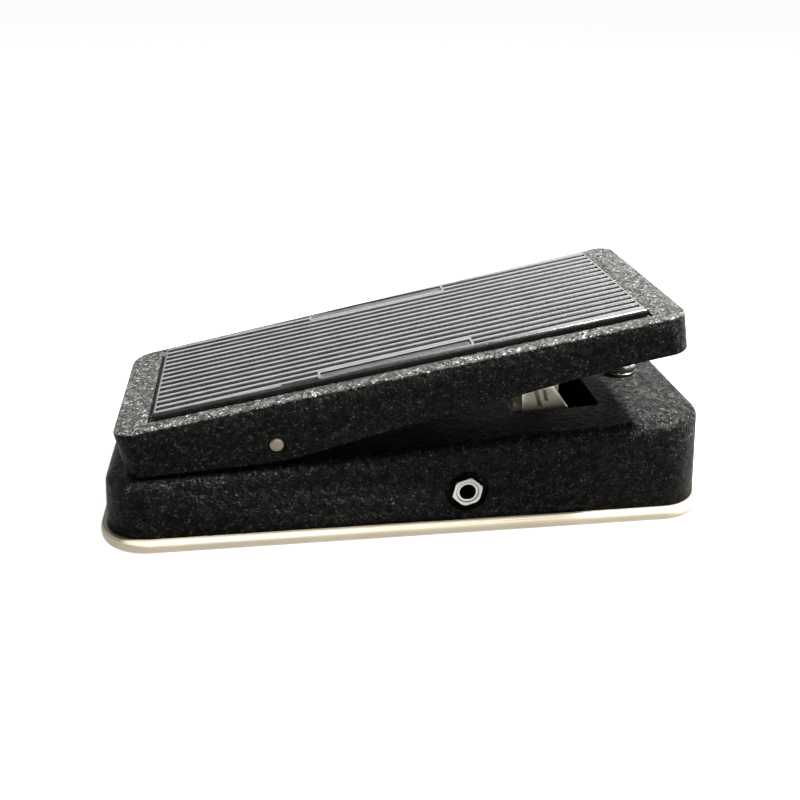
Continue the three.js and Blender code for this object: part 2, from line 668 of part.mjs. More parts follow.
function buildDrive() {
  const { halfFace, x, z } = GEAR;
  const { shaft: shaftRadius, bushing, body, wiper } = POT;
  const at = { position: [x, 0, z] };
  const gear = cut(
    extrudeY(gearOutline(), -halfFace, halfFace),
    bar([0, -9, 0], [0, 9, 0], shaftRadius + GAP, 24),
  );
  add("pinion", gear, FINISH.nylon, at);
  const shaft = join(
    bar([0, -halfFace - 1, 0], [0, 17, 0], shaftRadius, 24),
    bar([0, 17, 0], [0, 18.4, 0], wiper, 24),
  );
  add("pot_shaft", shaft, FINISH.zinc, at);

  const backFace = BRACKET.back + GAP;
  const housing = cut(
    join(
      bar([0, backFace, 0], [0, 21.5, 0], body, 36),
      bar([0, BRACKET.back - 3.2, 0], [0, backFace + 1, 0], bushing, 24),
    ),
    bar([0, 0, 0], [0, 19, 0], shaftRadius + GAP, 24),
    bar([0, 16.6, 0], [0, 18.8, 0], wiper + GAP, 24),
    block(-3, 3, 17, 23, 4, 11),
  );
  add("pot_body", housing, FINISH.zinc, at);
  const nut = cut(extrudeY(regularPolygon(6, 6.6), 5.9, 7.2), bar([0, 0, 0], [0, 9, 0], bushing + GAP, 24));
  add("pot_nut", nut, FINISH.nickel, at);
  const lugs = [-5, 0, 5].map((across) => block(across - 1, across + 1, 13.4, 14.2, -18, -12));
  const phenolic = block(-7.5, 7.5, 12.4, 15.2, -12.4, -body - GAP);
  add("pot_terminals", join(phenolic, ...lugs), FINISH.tan, at);

  add("gear_rack", rackBody(), FINISH.nylon);
  const pinReach = CLEVIS.cheekIn + CLEVIS.sheet + 0.5;
  const { radius } = CLEVIS_PIN;
  const pin = join(
    bar([0, -pinReach, 0], [0, pinReach, 0], radius, 16),
    bar([0, -pinReach - 0.8, 0], [0, -pinReach + 0.1, 0], 2.4, 12),
  );
  add("clevis_pin", pin, FINISH.nickel, { position: [CLEVIS_PIN.x, 0, CLEVIS_PIN.z] });

  add("pot_bracket", potBracket(), FINISH.zinc);
  BRACKET_SCREW_PLACES.forEach(([sx, sy], i) => {
    add(`bracket_screw_${i + 1}`, screw(M3, 8, 1.6), FINISH.zinc, {
      position: [sx, sy, BRACKET.foot - GAP],
    });
  });
}

// ---------------------------------------------------------------- footswitch
function buildFootswitch() {
  const at = { position: [SWITCH.x, SWITCH.y, 0] };
  const ceiling = baseTop(SWITCH.x - 9) - BASE.wall;
  const seat = baseTop(SWITCH.x + 7) + GAP;
  const bodyTop = ceiling - 3.2;
  const bodyBottom = bodyTop - 15;
  const { bushing, stem, button, plungerTop } = SWITCH;
  const collar = bushing - 1;
  const body = cut(
    extrudeZ(roundedRectangle(-8.5, 8.5, -8, 8, 1), bodyBottom, bodyTop, 2),
    bar([0, 0, bodyTop - 6.5], [0, 0, bodyTop + 1], collar + GAP, 24),
  );
  add("switch_body", body, FINISH.blackPlastic, at);
  const sleeve = cut(
    join(
      bar([0, 0, bodyTop + GAP], [0, 0, seat + 6.4], bushing, 24),
      bar([0, 0, bodyTop - 1.5], [0, 0, bodyTop + GAP + 0.1], collar, 24),
    ),
    bar([0, 0, bodyTop - 5], [0, 0, seat + 9], stem + GAP, 24),
  );
  add("switch_bushing", sleeve, FINISH.nickel, at);
  const plunger = join(
    bar([0, 0, bodyTop - 1.5], [0, 0, seat + 10], stem, 20),
    bar([0, 0, seat + 9.9], [0, 0, plungerTop], button, 24, button - 0.4),
  );
  add("switch_plunger", plunger, FINISH.nickel, at);
  const thread = bar([0, 0, 0], [0, 0, 70], bushing + GAP, 24);
  const hexagon = regularPolygon(6, 6.8, Math.PI / 6);
  const washer = cut(bar([0, 0, seat], [0, 0, seat + 0.8], 6.9, 32), thread);
  add("switch_washer", washer, FINISH.nickel, at);
  const topNut = cut(extrudeZ(hexagon, seat + 1.1, seat + 3.9), thread);
  add("switch_nut_top", topNut, FINISH.nickel, at);
  const innerNut = cut(extrudeZ(hexagon, bodyTop + 0.6, bodyTop + 2.6), thread);
  add("switch_nut_inner", innerNut, FINISH.nickel, at);
  const tag = (x, y) => block(x - 1.1, x + 1.1, y - 0.4, y + 0.4, bodyBottom - 6, bodyBottom - 1.5);
  const terminals = join(
    block(-7.5, 7.5, -6.5, 6.5, bodyBottom - 1.6, bodyBottom - GAP),
    ...[-5, 0, 5].flatMap((x) => [tag(x, -4), tag(x, 4)]),
  );
  add("switch_terminals", terminals, FINISH.tan, at);
}

// ---------------------------------------------------------------- jacks
// Built pointing along +Y out of the wall, then turned for the near side.
function buildJacks() {
  const wallY = BASE.halfWidth - (JACK.z - BASE.rim) * BASE.draft;
  const innerFace = wallY - BASE.wall - GAP - 0.9;
  const seat = wallY - JACK.recessDepth + GAP;
  const bore = bar([0, innerFace - 21, 0], [0, 60, 0], JACK.bore, 32);
  const body = cut(
    join(
      extrudeY(roundedRectangle(-9, 9, -8.5, 8.5, 2), innerFace - 24, innerFace, 3),
      bar([0, innerFace - 0.1, 0], [0, seat + JACK.nutHeight - 0.2, 0], JACK.bushing, 32),
    ),
    bore,
  );
  const nut = cut(
    extrudeY(regularPolygon(6, JACK.nut, JACK.nutTurn), seat, seat + JACK.nutHeight),
    bar([0, 30, 0], [0, 60, 0], JACK.bushing + GAP, 32),
  );
  for (const [name, turn] of [["output", 0], ["input", Math.PI]]) {
    const at = { position: [JACK.x, 0, JACK.z], rotation: [0, 0, turn] };
    add(`${name}_jack`, body, FINISH.blackPlastic, at);
    add(`${name}_jack_nut`, nut, FINISH.nickel, at);
  }
}

// ---------------------------------------------------------------- circuit board and battery
function buildBoard() {
  const { heel, toe, halfWidth, bottom, top } = BOARD;
  const screwHoles = BOARD_SCREW_PLACES.map(([x, y]) => bar([x, y, 10], [x, y, 25], M25.shank + GAP, 12));
  const outline = roundedRectangle(heel, toe, -halfWidth, halfWidth, 1.5);
  add("circuit_board", cut(extrudeZ(outline, bottom, top, 3), ...screwHoles), FINISH.boardGreen);
  BOARD_SCREW_PLACES.forEach(([x, y], i) => {
    add(`board_screw_${i + 1}`, screw(M25, 7, 1.4), FINISH.zinc, { position: [x, y, bottom - GAP] });
  });
  // The components hang below the board, facing the base plate.
  const under = bottom - GAP;
  const can = (x, y, radius, height) => bar([x, y, under - height], [x, y, under], radius, 28);
  const film = (x, y) => {
    const section = roundedRectangle(x - 6, x + 6, y - 2.5, y + 2.5, 1.2);
    return extrudeZ(section, under - 8, under, 3);
  };
  add("inductor", can(-22, 4, 7, 9.5), FINISH.capRed);
  add("transistor_1", can(-8, -9, 2.5, 5), FINISH.blackPlastic);
  add("transistor_2", can(12, 9, 2.5, 5), FINISH.blackPlastic);
  add("film_capacitor_1", film(0, 3.5), FINISH.capBlue);
  add("film_capacitor_2", film(4, -4.5), FINISH.capBlue);
  add("electrolytic_capacitor", can(20, -7, 4, 11), FINISH.wireBlack);
  const resistorBody = join(
    bar([-3.2, 0, 0], [3.2, 0, 0], 1.2, 12),
    bar([-3.6, 0, 0], [-2, 0, 0], 1.5, 12),
    bar([2, 0, 0], [3.6, 0, 0], 1.5, 12),
  );
  add("resistor", resistorBody, FINISH.tan, { position: [2, 11, under - 1.6] });
}

function buildBattery() {
  const { heel, toe, halfWidth, bottom, top, studY, studReach } = BATTERY;
  const middle = (bottom + top) / 2;
  const stud = (y, radius, reach) => bar([toe - 0.5, y, middle], [toe + reach, y, middle], radius, 20);
  const cell = join(
    block(heel, toe, -halfWidth, halfWidth, bottom, top),
    stud(-studY, SMALL_STUD, studReach),
    stud(studY, LARGE_STUD, studReach),
  );
  add("battery", cell, FINISH.blackPlastic);
  const snap = cut(
    block(toe + GAP, toe + 4 + GAP, -halfWidth + 1, halfWidth - 1, middle - 5, middle + 5),
    stud(-studY, SMALL_STUD + GAP, studReach + GAP),
    stud(studY, LARGE_STUD + GAP, studReach + GAP),
  );
  add("battery_snap", snap, FINISH.blackPlastic);
}

function buildWires() {
  const wireRadius = 0.7;
  const snapEnd = -61;
  const underBoard = BOARD.bottom - 1.4;
  const lugX = JACK.x - 9.7;
  const routes = {
    battery_lead_red: {
      finish: FINISH.wireRed,
      points: [[snapEnd, 5, 15], [-56, 11, 10], [-47, 14, 9], [-38, 13, 13], [-36, 12, underBoard]],
    },
    battery_lead_black: {
      finish: FINISH.wireBlack,
      points: [[snapEnd, -5, 15], [-52, -20, 9], [-20, -24, 8], [2, -24, 11], [lugX, -25, 14]],
    },
    input_wire: {
      finish: FINISH.wireGreen,
      points: [[lugX, -30, 20], [4, -27, 21], [0, -20, 17], [-2, -14, 14], [-3, -12, underBoard]],
    },
    output_wire: {
      finish: FINISH.wireWhite,
      points: [[lugX, 30, 20], [4, 27, 21], [0, 20, 17], [-2, 15, 14], [-3, 12, underBoard]],
    },
    switch_wire: {
      finish: FINISH.wireWhite,
      points: [
        [96.5, 1.5, 15], [96, -3, 9], [91, -10, 4.4], [80, -26, 4.6], [50, -18, 6], [36, -13, 10],
        [31, -12, underBoard],
      ],
    },
    pot_wire: {
      finish: FINISH.wireGreen,
      points: [[GEAR.x, 13.8, 8.6], [48, 12, 5.5], [38, 9, 7], [31, 10, 11], [31, 11, underBoard]],
    },
  };
  for (const [name, { points, finish }] of Object.entries(routes)) {
    add(name, solid(wire(points, wireRadius)), finish);
  }
}

buildBase();
buildTreadle();
buildPivot();
buildDrive();
buildFootswitch();
buildJacks();
buildBoard();
buildBattery();
buildWires();

export default pedal;
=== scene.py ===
"""A rocker-treadle guitar effects pedal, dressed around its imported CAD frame. Metres, +X toe, +Z up."""

import json
import math

import bmesh
import bpy
from mathutils import Matrix, Vector


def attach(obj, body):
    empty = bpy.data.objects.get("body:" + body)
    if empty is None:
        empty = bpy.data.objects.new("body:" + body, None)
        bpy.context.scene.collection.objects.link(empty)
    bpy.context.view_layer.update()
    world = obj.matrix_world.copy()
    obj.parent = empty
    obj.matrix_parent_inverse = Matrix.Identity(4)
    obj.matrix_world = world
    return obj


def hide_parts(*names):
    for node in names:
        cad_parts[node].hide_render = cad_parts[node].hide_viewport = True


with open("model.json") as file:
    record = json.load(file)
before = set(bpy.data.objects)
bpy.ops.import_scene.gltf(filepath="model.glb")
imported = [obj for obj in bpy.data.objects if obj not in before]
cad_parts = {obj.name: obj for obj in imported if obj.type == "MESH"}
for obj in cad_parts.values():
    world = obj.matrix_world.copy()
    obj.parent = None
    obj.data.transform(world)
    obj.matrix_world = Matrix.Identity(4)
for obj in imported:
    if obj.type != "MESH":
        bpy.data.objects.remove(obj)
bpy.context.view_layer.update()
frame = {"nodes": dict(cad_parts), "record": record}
NODES = frame["nodes"]

MM = 0.001

# ------------------------------------------------------------------ driving dimensions, millimetres
BASE = dict(
    half_length=124.0, half_width=48.04, corner=18.9, rim=5.35,
    draft=math.tan(math.radians(3.1)), toe_lean=math.tan(math.radians(2.4)),
    top=36.3, slope=0.0684, wall=3.0, edge=4.5,
)
SLOT = dict(heel=45.0, toe=82.5, half_width=23.0, corner=3.0)
TREADLE = dict(
    height=70.77, tilt=math.radians(10.96), heel=-118.9, toe=107.5, half_width=46.95,
    taper=0.03095, corner=8.5, plate=3.5, wall=3.0, edge=1.6, crown=3.8,
)
MAT = dict(
    heel=-102.8, toe=93.2, half_width=38.9, taper=0.0345, top=2.1, bottom=-0.7,
    grooves=16, pitch=4.83, groove=1.7, depth=1.3, shoulder=0.75, border=1.2,
    panel_heel=-37.0, panel_toe=25.0, panel_inner=31.0, panel_sink=0.45,
)
RECESS = dict(heel=-105.0, toe=94.4, half_width=42.3, taper=0.025, depth=1.0)
GASKET = dict(overhang=2.64, inner=4.5, top=5.3)
PIVOT = dict(x=-54.0, z=41.7, radius=3.0, eye_bolt_hole=2.8)
JACK = dict(
    x=21.4, z=17.8, bushing=4.5, nut=6.6, nut_height=2.6, turn=math.radians(17), recess=8.7, depth=1.8,
    gap=0.3,
)
LUG = dict(inner=33.0, outer=40.3, half_length=8.5, crown=7.5, bush=5.0)
# places (x, y) on the base
PLATE_SCREWS = [(-106, -31), (-106, 31), (108, -31), (108, 31)]
BOARD_SCREWS = [(-35, 0), (29, 0)]
BRACKET_SCREWS = [(88, -13), (88, 13)]
SWITCH = dict(x=101.5, y=8.0, hole=5.3)
HEEL_BUMPERS = [(-99, -25), (-99, 25)]
# along the treadle: the clevis screws, and (place, height) points of the skirt's lower edge
CLEVIS_SCREWS = [52, 80]
SKIRT = [(-125, -19.3), (-113, -19.8), (-90, -22.1), (-74.5, -24.0), (-58, -25.6), (-47, -25.1),
         (-10, -22.1), (30, -19.8), (54, -18.0), (86, -16.3), (115, -16.3)]
# angles in radians; yaw turns from +Y towards +X, pitch looks down
CAMERA = dict(
    place=(-52.62, -392.62, 215.04), yaw=math.radians(7.653), pitch=math.radians(24.049),
    roll=math.radians(0.2518), sensor=36.0, lens=44.7345,
)


# ------------------------------------------------------------------ camera, light and stage
def look_matrix(place, yaw, pitch, roll):
    """A camera at place that looks yaw from +Y towards +X, pitch below the horizon."""
    forward = Vector((
        math.sin(yaw) * math.cos(pitch), math.cos(yaw) * math.cos(pitch), -math.sin(pitch)))
    right = Vector((math.cos(yaw), -math.sin(yaw), 0))
    up = right.cross(forward)
    right_rolled = math.cos(roll) * right + math.sin(roll) * up
    up_rolled = -math.sin(roll) * right + math.cos(roll) * up
    turn = Matrix((right_rolled, up_rolled, -forward)).transposed()
    return Matrix.Translation(place) @ turn.to_4x4()


def make_camera():
    data = bpy.data.cameras.new("camera")
    camera = bpy.data.objects.new("camera", data)
    bpy.context.collection.objects.link(camera)
    data.sensor_width = CAMERA["sensor"]
    data.lens = CAMERA["lens"]
    data.clip_start = 0.01
    camera.matrix_world = look_matrix(
        Vector(CAMERA["place"]) * MM, CAMERA["yaw"], CAMERA["pitch"], CAMERA["roll"])
    bpy.context.scene.camera = camera


def area_light(name, direction, distance, size, radiance):
    """A soft box that shines at the pedal; radiance is its brightness where 1 is paper white."""
    data = bpy.data.lights.new(name, "AREA")
    data.shape = "RECTANGLE"
    data.size, data.size_y = size
    data.energy = radiance * math.pi * size[0] * size[1]
    light = bpy.data.objects.new(name, data)
    bpy.context.collection.objects.link(light)
    towards = Vector(direction).normalized()
    light.location = towards * distance
    light.rotation_euler = (-towards).to_track_quat("-Z", "Y").to_euler()
    light.visible_camera = False


def make_sky(light, seen):
    """A white sky that lights the pedal by light and is seen behind the floor's edge as seen."""
    world = bpy.data.worlds.new("studio")
    bpy.context.scene.world = world
    world.use_nodes = True
    tree = world.node_tree
    sky = tree.nodes["Background"]
    sky.inputs["Color"].default_value = (1, 1, 1, 1)
    ray = tree.nodes.new("ShaderNodeLightPath")
    tree.links.new(spread(tree, ray.outputs["Is Camera Ray"], 0, 1, light, seen), sky.inputs["Strength"])


def make_stage():
    """A plain white floor that glows a little, a sky, four soft boxes and a small strong key light."""
    floor_mesh = bpy.data.meshes.new("floor")
    reach = 40.0
    corners = [(-reach, -reach, 0), (reach, -reach, 0), (reach, reach, 0), (-reach, reach, 0)]
    floor_mesh.from_pydata(corners, [], [(0, 1, 2, 3)])
    floor = bpy.data.objects.new("floor", floor_mesh)
    bpy.context.collection.objects.link(floor)
    material, shader, _ = new_material("pale_floor")
    shader.inputs["Base Color"].default_value = (0.08, 0.08, 0.08, 1)
    shader.inputs["Roughness"].default_value = 0.9
    shader.inputs["Specular IOR Level"].default_value = 0.0
    shader.inputs["Emission Color"].default_value = (1, 1, 1, 1)
    shader.inputs["Emission Strength"].default_value = 0.66
    floor_mesh.materials.append(material)

    make_sky(light=0.2, seen=0.68)
    area_light("back_box", (0.04, 0.84, 0.51), 1.5, (1.7, 0.9), 2.6)
    area_light("ceiling_box", (0.28, -0.10, 1.0), 1.4, (0.45, 0.3), 20.0)
    area_light("heel_box", (-0.88, 0.42, 0.40), 1.5, (0.9, 0.6), 2.2)
    area_light("front_card", (0.15, -0.95, 0.28), 1.5, (1.6, 0.5), 2.2)
    area_light("top_box", (0.69, -0.02, 1.22), 1.40, (0.13, 0.13), 1800.0)
    view = bpy.context.scene.view_settings
    view.view_transform = "Standard"
    view.look = "High Contrast"
    view.exposure = 0.0


# ------------------------------------------------------------------ materials
def new_material(name):
    material = bpy.data.materials.new(name)
    material.use_nodes = True
    tree = material.node_tree
    return material, tree.nodes["Principled BSDF"], tree


def noise(tree, scale, detail=2.0, roughness=0.5, distortion=0.0, stretch=(1, 1, 1)):
    """Noise in the piece's own coordinates, scale in features per metre."""
    coordinates = tree.nodes.new("ShaderNodeTexCoord")
    mapping = tree.nodes.new("ShaderNodeMapping")
    mapping.inputs["Scale"].default_value = stretch
    tree.links.new(coordinates.outputs["Object"], mapping.inputs["Vector"])
    node = tree.nodes.new("ShaderNodeTexNoise")
    node.inputs["Scale"].default_value = scale
    node.inputs["Detail"].default_value = detail
    node.inputs["Roughness"].default_value = roughness
    node.inputs["Distortion"].default_value = distortion
    tree.links.new(mapping.outputs["Vector"], node.inputs["Vector"])
    return node.outputs["Fac"]


def ramp(tree, value, stops):
    """A colour ramp from (place, colour) stops."""
    node = tree.nodes.new("ShaderNodeValToRGB")
    elements = node.color_ramp.elements
    while len(elements) < len(stops):
        elements.new(0.5)
    for element, (place, colour) in zip(elements, stops):
        element.position = place
        element.color = (*colour, 1)
    tree.links.new(value, node.inputs["Fac"])
    return node.outputs["Color"]


def spread(tree, value, low, high, out_low, out_high):
    """Stretches a value from the range low to high onto the range out_low to out_high."""
    node = tree.nodes.new("ShaderNodeMapRange")
    sockets = ("From Min", "From Max", "To Min", "To Max")
    for socket, number in zip(sockets, (low, high, out_low, out_high)):
        node.inputs[socket].default_value = number
    tree.links.new(value, node.inputs["Value"])
    return node.outputs["Result"]


def bump(tree, height, strength, distance, under=None):
    """A relief of this height, laid over the relief under it."""
    node = tree.nodes.new("ShaderNodeBump")
    node.inputs["Strength"].default_value = strength
    node.inputs["Distance"].default_value = distance
    tree.links.new(height, node.inputs["Height"])
    if under is not None:
        tree.links.new(under, node.inputs["Normal"])
    return node.outputs["Normal"]


def scaled(colour, factor):
    return tuple(min(1.0, part * factor) for part in colour)


def cells(tree, scale):
    """A random number for each cell of a crystal-like pattern, scale in cells per metre."""
    coordinates = tree.nodes.new("ShaderNodeTexCoord")
    node = tree.nodes.new("ShaderNodeTexVoronoi")
    node.inputs["Scale"].default_value = scale
    tree.links.new(coordinates.outputs["Object"], node.inputs["Vector"])
    part = tree.nodes.new("ShaderNodeSeparateColor")
    tree.links.new(node.outputs["Color"], part.inputs["Color"])
    return part.outputs["Red"]


def times(tree, first, second):
    """Two colours multiplied."""
    node = tree.nodes.new("ShaderNodeMix")
    node.data_type = "RGBA"
    node.blend_type = "MULTIPLY"
    node.inputs["Factor"].default_value = 1.0
    tree.links.new(first, node.inputs["A"])
    tree.links.new(second, node.inputs["B"])
    return node.outputs["Result"]


def facing_up(tree, stops):
    """A painted light-and-shade factor picked by how far the surface leans: 0 upright, 1 level."""
    geometry = tree.nodes.new("ShaderNodeNewGeometry")
    part = tree.nodes.new("ShaderNodeSeparateXYZ")
    tree.links.new(geometry.outputs["True Normal"], part.inputs["Vector"])
    return ramp(tree, part.outputs["Z"], [(place, (shade, shade, shade)) for place, shade in stops])


def wrinkle_paint(name, lean_light_stops, scale, height):
    """Black crinkle-finish paint with painted light: faces get painted light and shade by how they lean, by
    the (place, shade) stops of facing_up, the wrinkle hollows get painted shade and the ridges painted
    highlight, and bright specks stand for painted glints.
    """
    material, shader, tree = new_material(name)
    wrinkles = noise(tree, scale, detail=4.0, roughness=0.65, distortion=0.6)
    grains = cells(tree, 1700)
    blotches = noise(tree, 40, detail=2.0)
    # the paint's dark tone, with bright cell specks as painted glints
    paint_tone_and_glints = ramp(tree, grains, [(0.0, (0.050, 0.050, 0.047)), (0.55, (0.078, 0.077, 0.073)),
                               (0.88, (0.12, 0.118, 0.111)), (1.0, (0.42, 0.412, 0.387))])
    # painted shade in the wrinkle hollows and painted highlight on their ridges
    ridge_highlight_hollow_shade = ramp(tree, wrinkles, [(0.42, (0.35, 0.35, 0.35)), (0.60, (1.0, 1.0, 1.0))])
    paint = times(tree, times(tree, paint_tone_and_glints, ridge_highlight_hollow_shade), facing_up(tree, lean_light_stops))
    tree.links.new(paint, shader.inputs["Base Color"])
    tree.links.new(spread(tree, blotches, 0.3, 0.7, 0.28, 0.38), shader.inputs["Roughness"])
    shader.inputs["Specular IOR Level"].default_value = 0.1
    coarse = bump(tree, wrinkles, 1.0, height * MM)
    tree.links.new(bump(tree, grains, 0.6, 0.15 * MM, coarse), shader.inputs["Normal"])
    return material


def plain(name, colour, roughness, metallic=0.0, grain=300.0, variation=0.12, relief=0.05,
          stretch=(1, 1, 1), specular=0.5, level=1.0):
    """A material with gentle colour and gloss variation and a fine relief; level is a painted shade factor
    on level faces.
    """
    material, shader, tree = new_material(name)
    grains = noise(tree, grain, detail=4.0, stretch=stretch)
    clouds = noise(tree, grain / 8, detail=2.0, stretch=stretch)
    colours = [(0.3, scaled(colour, 1 - variation)), (0.7, scaled(colour, 1 + variation))]
    # painted shade: faces that lie level are darkened by the factor level
    shade = facing_up(tree, [(0.5, 1.0), (0.95, level)])
    tree.links.new(times(tree, ramp(tree, clouds, colours), shade), shader.inputs["Base Color"])
    gloss = spread(tree, grains, 0.3, 0.7, roughness * 0.85, min(1.0, roughness * 1.15))
    tree.links.new(gloss, shader.inputs["Roughness"])
    shader.inputs["Metallic"].default_value = metallic
    shader.inputs["Specular IOR Level"].default_value = specular
    tree.links.new(bump(tree, grains, relief * 4, relief * MM), shader.inputs["Normal"])
    return material


def make_materials():
    return {
        # painted light and shade by lean: the casting's upright sides darkest, its sloping and level faces
        # lighter
        "wrinkle_paint_casting": wrinkle_paint(
            "base_paint", [(0.0, 0.23), (0.4, 0.3), (0.99, 0.28)], 330, 2.6),
        "painted_steel_plate": plain("plate_paint", (0.012, 0.012, 0.012), 0.45, grain=900, relief=0.12),
        # the gasket's upward faces get painted shade, level=0.27
        "cream_rubber": plain("cream_rubber", (0.46, 0.41, 0.32), 0.45, grain=160, relief=0.06,
                              variation=0.06, level=0.27),
        "black_rubber": plain("tread_rubber", (0.018, 0.018, 0.0175), 0.30, grain=1100, relief=0.15,
                              variation=0.3, specular=0.8),
        "stippled_rubber": plain("stippled_rubber", (0.015, 0.015, 0.0145), 0.52, grain=800, relief=0.3,
                                 variation=0.5),
        "zinc_plated_steel": plain("zinc_plate", (0.94, 0.89, 0.75), 0.30, 0.1, grain=260, relief=0.06),
        "dull_steel_rod": plain("rod_steel", (0.27, 0.24, 0.20), 0.42, 1.0, grain=500, relief=0.08,
                                variation=0.25),
        "nickel_plate": plain("nickel", (0.41, 0.405, 0.385), 0.24, 1.0, grain=400, relief=0.05,
                              variation=0.2),
        "white_nylon": plain("nylon", (0.80, 0.77, 0.68), 0.42, grain=200, relief=0.04),
        "black_plastic": plain("black_plastic", (0.018, 0.018, 0.019), 0.38, grain=900, relief=0.05),
        "board_green": plain("board_lacquer", (0.05, 0.12, 0.045), 0.3, grain=500, relief=0.04),
        "red_enamel": plain("red_enamel", (0.36, 0.045, 0.025), 0.18, grain=200, relief=0.05),
        "blue_film": plain("blue_film", (0.03, 0.08, 0.30), 0.22, grain=200, relief=0.05),
        "tan_phenolic": plain("phenolic", (0.36, 0.22, 0.10), 0.45, grain=400, relief=0.05, variation=0.25),
        "red_insulation": plain("red_pvc", (0.42, 0.02, 0.015), 0.35, grain=300),
        "green_insulation": plain("green_pvc", (0.03, 0.18, 0.05), 0.35, grain=300),
        "white_insulation": plain("white_pvc", (0.74, 0.72, 0.66), 0.35, grain=300),
    }


# ------------------------------------------------------------------ mesh tools
def new_object(name, verts, faces):
    """A piece from points in millimetres."""
    mesh = bpy.data.meshes.new(name)
    mesh.from_pydata([Vector(v) * MM for v in verts], [], faces)
    mesh.validate()
    obj = bpy.data.objects.new(name, mesh)
    bpy.context.collection.objects.link(obj)
    clean = bmesh.new()
    clean.from_mesh(mesh)
    bmesh.ops.remove_doubles(clean, verts=clean.verts, dist=1e-7)
    bmesh.ops.recalc_face_normals(clean, faces=clean.faces)
    clean.to_mesh(mesh)
    clean.free()
    return obj


def settle(obj):
    """Applies every modifier."""
    graph = bpy.context.evaluated_depsgraph_get()
    mesh = bpy.data.meshes.new_from_object(obj.evaluated_get(graph))
    obj.modifiers.clear()
    old = obj.data
    obj.data = mesh
    bpy.data.meshes.remove(old)
    return obj


def combine(obj, tool, operation):
    """Joins or cuts obj with the tool, which is used up."""
    modifier = obj.modifiers.new("combine", "BOOLEAN")
    modifier.operation = operation
    modifier.object = tool
    modifier.solver = "EXACT"
    settle(obj)
    bpy.data.objects.remove(tool)
    return obj


def cut(obj, *tools):
    for tool in tools:
        combine(obj, tool, "DIFFERENCE")
    return obj


def join(obj, *tools):
    for tool in tools:
        combine(obj, tool, "UNION")
    return obj


def soften(obj, width, segments=2, angle=32):
    """Rounds the sharp edges, width in millimetres."""
    modifier = obj.modifiers.new("soft_edges", "BEVEL")
    modifier.width = width * MM
    modifier.segments = segments
    modifier.limit_method = "ANGLE"
    modifier.angle_limit = math.radians(angle)
    modifier.use_clamp_overlap = True
    modifier.miter_outer = "MITER_ARC"
    return settle(obj)


def smooth(obj, angle=35):
    obj.data.shade_smooth()
    obj.data.set_sharp_from_angle(angle=math.radians(angle))
    return obj


def merged(*objects):
    """Makes one object of several that don't touch."""
    first = objects[0]
    whole = bmesh.new()
    for obj in objects:
        whole.from_mesh(obj.data)
    whole.to_mesh(first.data)
    whole.free()
    for obj in objects[1:]:
        bpy.data.objects.remove(obj)
    return first


def skin(name, rings, closed=False):
    """Joins rings of points; closed joins the last ring to the first, or both ends get a cap."""
    count = len(rings[0])
    verts = [point for ring in rings for point in ring]
    faces = []
    spans = len(rings) if closed else len(rings) - 1
    for i in range(spans):
        here, there = i * count, ((i + 1) % len(rings)) * count
        for j in range(count):
            k = (j + 1) % count
            faces.append((here + j, here + k, there + k, there + j))
    if not closed:
        faces.append(tuple(range(count)))
        faces.append(tuple(range((len(rings) - 1) * count, len(rings) * count)))
    return new_object(name, verts, faces)


def outline(heel, toe, half_width, corner, inset=0.0, corner_steps=14, side_steps=1, setback=0.0):
    """A rounded rectangle's points. half_width(x) may narrow it, and setback moves its toe end in."""
    radius = max(corner - inset, 0.05)
    corners = []
    for quarter, (end, side) in enumerate(((1, 1), (-1, 1), (-1, -1), (1, -1))):
        centre_x = toe - corner - setback if end > 0 else heel + corner
        arc = []
        for step in range(corner_steps + 1):
            angle = math.pi / 2 * (quarter + step / corner_steps)
            x = centre_x + radius * math.cos(angle)
            y = side * (half_width(x) - corner) + radius * math.sin(angle)
            arc.append((x, y))
        corners.append(arc)
    points = []
    for i, arc in enumerate(corners):
        points.extend(arc)
        start, end = arc[-1], corners[(i + 1) % 4][0]
        steps = side_steps if i in (0, 2) else max(1, side_steps // 4)
        for step in range(1, steps):
            t = step / steps
            points.append((start[0] + (end[0] - start[0]) * t, start[1] + (end[1] - start[1]) * t))
    return points


def turned(name, profile, start, axis, sides=48):
    """A body turned about an axis: profile is (distance along the axis, radius) points, millimetres."""
    direction = Vector(axis).normalized()
    turn = direction.to_track_quat("Z", "X").to_matrix()
    rings = []
    for along, radius in profile:
        ring = []
        for i in range(sides):
            angle = 2 * math.pi * i / sides
            local = Vector((radius * math.cos(angle), radius * math.sin(angle), along))
            ring.append(tuple(Vector(start) + turn @ local))
        rings.append(ring)
    return skin(name, rings)


def rod(start, end, radius, sides=40, name="tool"):
    axis = Vector(end) - Vector(start)
    return turned(name, [(0, radius), (axis.length, radius)], start, axis, sides)


def block(x0, x1, y0, y1, z0, z1, name="tool"):
    rings = [[(x0, y0, z), (x1, y0, z), (x1, y1, z), (x0, y1, z)] for z in (z0, z1)]
    return skin(name, rings)


def prism(points, z0, z1, name="tool"):
    return skin(name, [[(x, y, z) for x, y in points] for z in (z0, z1)])


def tilted():
    """The treadle's own frame in the pedal's frame, millimetres."""
    return Matrix.Translation((0, 0, TREADLE["height"])) @ Matrix.Rotation(-TREADLE["tilt"], 4, "Y")


def place(obj, matrix):
    """Moves an object's points by a matrix given in millimetres."""
    shift = matrix.copy()
    shift.translation = matrix.translation * MM
    obj.data.transform(shift)
    return obj


def in_treadle(x, z):
    """A point of the pedal's middle plane, in the treadle's own frame."""
    return tilted().inverted() @ Vector((x, 0, z))


def accent(obj, slot, chosen):
    """Gives the faces whose centre (in millimetres) is chosen a second material."""
    obj.data.materials.append(MATERIALS[slot])
    index = len(obj.data.materials) - 1
    for face in obj.data.polygons:
        if chosen(face.center / MM):
            face.material_index = index


